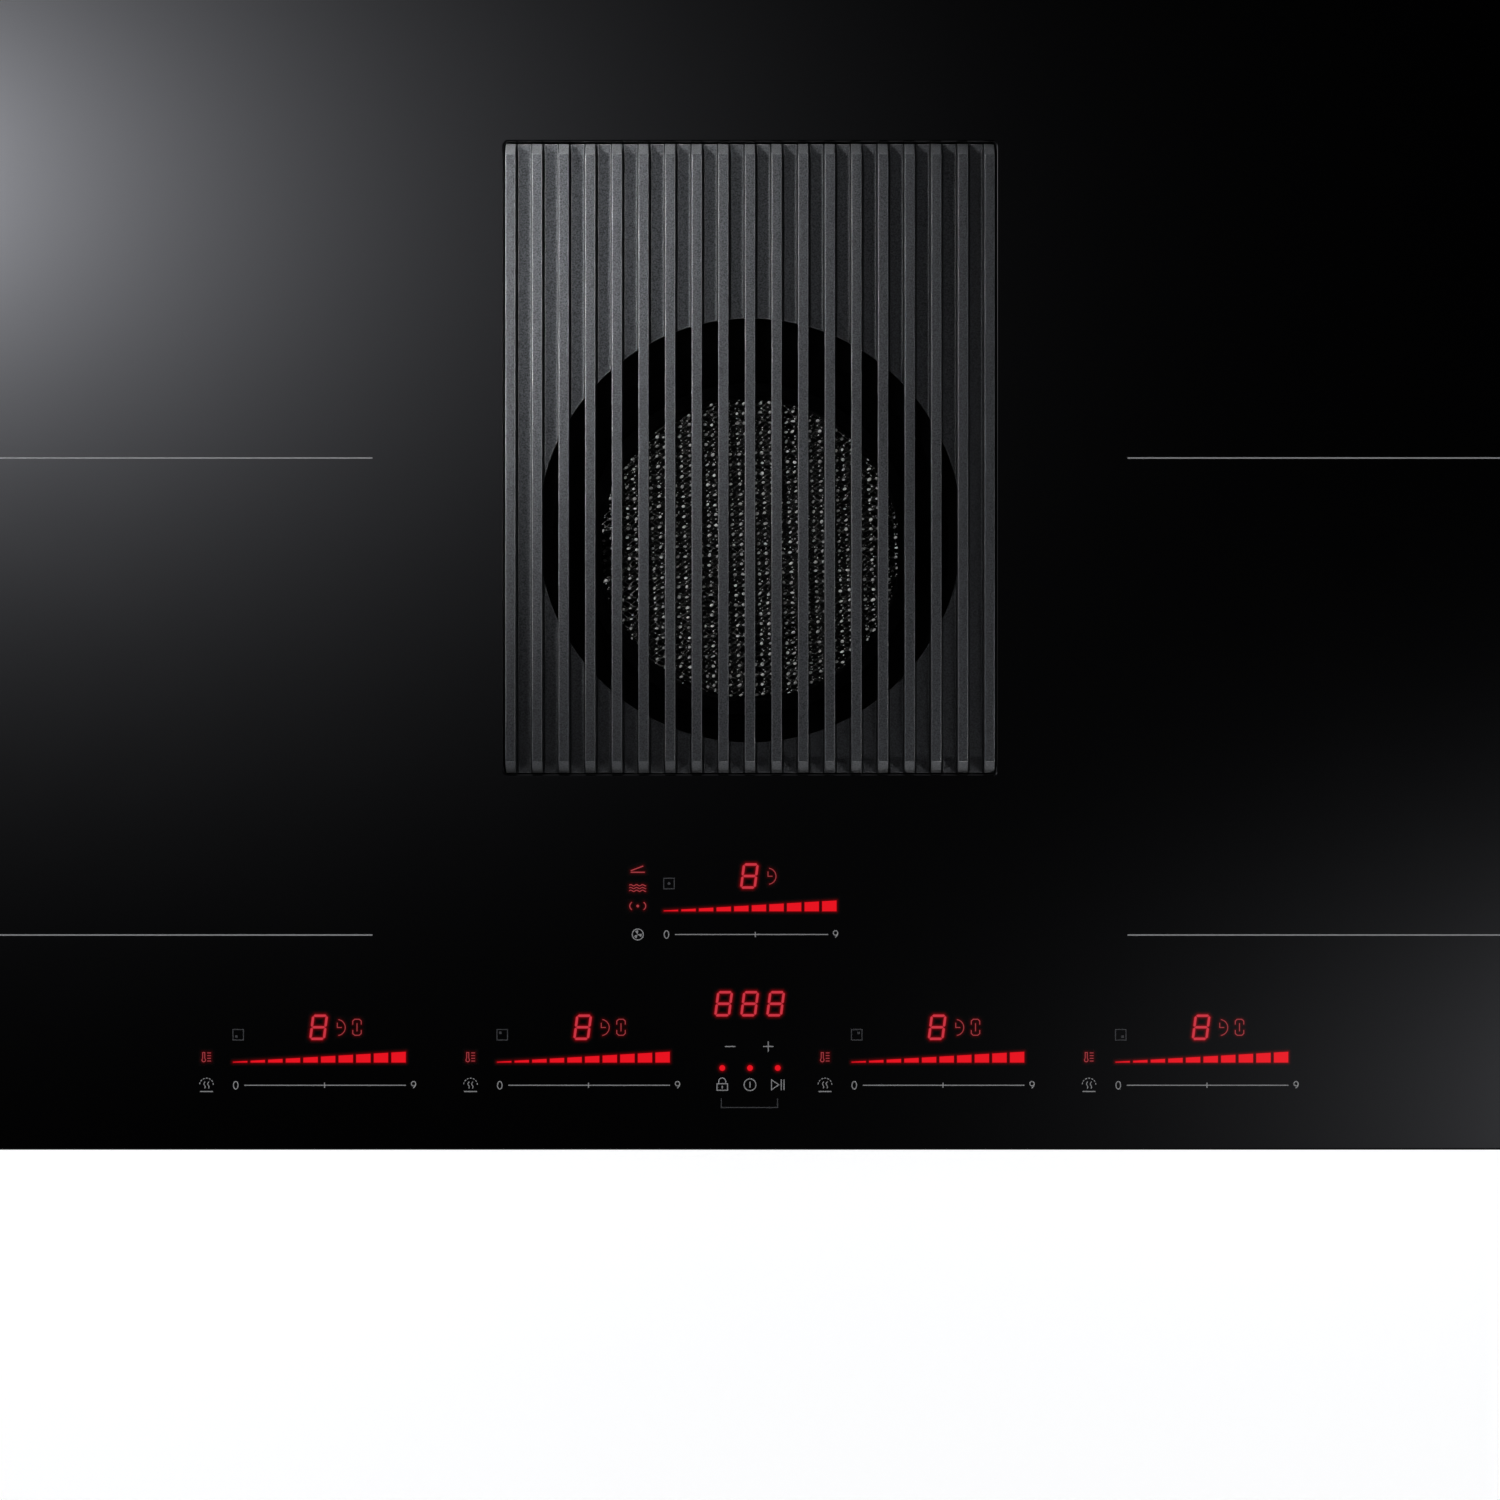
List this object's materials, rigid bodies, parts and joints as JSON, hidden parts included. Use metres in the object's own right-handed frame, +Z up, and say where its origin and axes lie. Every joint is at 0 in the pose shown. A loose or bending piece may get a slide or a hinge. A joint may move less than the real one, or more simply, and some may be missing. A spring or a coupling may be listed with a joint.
{
  "type": "downdraft induction cooktop",
  "caption": "Built-in induction cooktop: flat black glass with a lift-out slatted grille in its middle, over a grease filter, a blower housing and pull-out filter drawers.",
  "frame": {"origin": "centre of the flat base of the extractor housing, in plan the centre of the glass", "axes": "+X to the cook's right, +Y to the back where the duct leaves, +Z up; the glass is at the top and the touch controls along its -Y edge"},
  "size_m": [0.83, 0.515, 0.213],
  "materials": {
    "glass_top": "polished black glass-ceramic, opaque",
    "grille": "fine-textured matt dark grey coating",
    "filter_mesh": "bright expanded mesh",
    "black_moulding": "satin black moulding",
    "housing": "matt black moulding",
    "grey_moulding": "satin grey moulding",
    "zinc_steel": "zinc-plated sheet",
    "spring_steel": "bright steel",
    "aluminium": "mill finish",
    "rubber": "matt black",
    "foam": "dark foam tape",
    "charcoal": "matt charcoal block in a black frame",
    "copper": "varnished copper wire",
    "mica": "matt pale sheet",
    "circuit_board": "green board"
  },
  "bodies": {
    "cooktop": {"glass_top": "glass_top", "glass_gasket": "foam", "inlet_tub": "black_moulding", "inlet_funnel": "black_moulding", "tub_gasket": "foam", "base_tray": "zinc_steel", "clamp_spring_left": "spring_steel", "clamp_spring_right": "spring_steel", "clamp_screw_left": "zinc_steel", "clamp_screw_right": "zinc_steel", "terminal_box": "black_moulding", "terminal_block": "grey_moulding", "cable_gland": "black_moulding", "control_bracket": "black_moulding", "control_board": "circuit_board", "mains_board": "circuit_board", "extractor_housing": "housing", "housing_lid": "zinc_steel", "scroll_left": "black_moulding", "scroll_right": "black_moulding", "motor_body": "zinc_steel", "motor_bracket": "zinc_steel", "outlet_spigot": "black_moulding", "blower_driver": "grey_moulding", "coil_bridge_left": "aluminium", "mica_sheet_left": "mica", "power_board_left": "circuit_board", "heatsink_left": "aluminium", "fan_frame_left": "black_moulding", "coil_bridge_right": "aluminium", "mica_sheet_right": "mica", "power_board_right": "circuit_board", "heatsink_right": "aluminium", "fan_frame_right": "black_moulding", "coil_former_front_left": "grey_moulding", "coil_winding_front_left": "copper", "temperature_sensor_front_left": "spring_steel", "coil_former_front_right": "grey_moulding", "coil_winding_front_right": "copper", "temperature_sensor_front_right": "spring_steel", "coil_former_rear_left": "grey_moulding", "coil_winding_rear_left": "copper", "temperature_sensor_rear_left": "spring_steel", "coil_former_rear_right": "grey_moulding", "coil_winding_rear_right": "copper", "temperature_sensor_rear_right": "spring_steel"},
    "grille": {"grille": "grille", "grille_pad_left": "rubber", "grille_pad_right": "rubber"},
    "grease_filter": {"filter_frame": "black_moulding", "filter_mesh": "filter_mesh", "filter_seal": "rubber"},
    "drip_tray": {"drip_tray": "grey_moulding"},
    "odour_cassette_left": {"odour_cassette_left": "charcoal"},
    "odour_cassette_right": {"odour_cassette_right": "charcoal"},
    "terminal_cover": {"terminal_cover": "black_moulding"},
    "impeller": {"impeller": "grey_moulding", "motor_shaft": "spring_steel"},
    "fan_rotor_left": {"fan_rotor_left": "black_moulding"},
    "fan_rotor_right": {"fan_rotor_right": "black_moulding"}
  },
  "joints": [
    {"name": "grille_lift", "type": "slide", "parent": "cooktop", "child": "grille", "axis": [0, 0, 1], "range_m": [0, 0.3]},
    {"name": "filter_lift", "type": "slide", "parent": "cooktop", "child": "grease_filter", "axis": [0, 0, 1], "range_m": [0, 0.15]},
    {"name": "drip_tray_slide", "type": "slide", "parent": "cooktop", "child": "drip_tray", "axis": [0, -1, 0], "range_m": [0, 0.31]},
    {"name": "cassette_left_slide", "type": "slide", "parent": "cooktop", "child": "odour_cassette_left", "axis": [0, -1, 0], "range_m": [0, 0.31]},
    {"name": "cassette_right_slide", "type": "slide", "parent": "cooktop", "child": "odour_cassette_right", "axis": [0, -1, 0], "range_m": [0, 0.31]},
    {"name": "terminal_cover_hinge", "type": "hinge", "parent": "cooktop", "child": "terminal_cover", "pos_m": [-0.275, 0.168, 0.12155], "axis": [-1, 0, 0], "range_deg": [0, 100]},
    {"name": "impeller_spin", "type": "hinge", "parent": "cooktop", "child": "impeller", "pos_m": [0, 0.135, 0.0718], "axis": [1, 0, 0], "continuous": true},
    {"name": "fan_left_spin", "type": "hinge", "parent": "cooktop", "child": "fan_rotor_left", "pos_m": [-0.256, -0.0857, 0.162], "axis": [0, 0, 1], "continuous": true},
    {"name": "fan_right_spin", "type": "hinge", "parent": "cooktop", "child": "fan_rotor_right", "pos_m": [0.256, -0.0857, 0.162], "axis": [0, 0, 1], "continuous": true}
  ],
  "couplings": [
    {"joint": "filter_lift", "follows": "grille_lift", "ratio": 0.5}
  ]
}
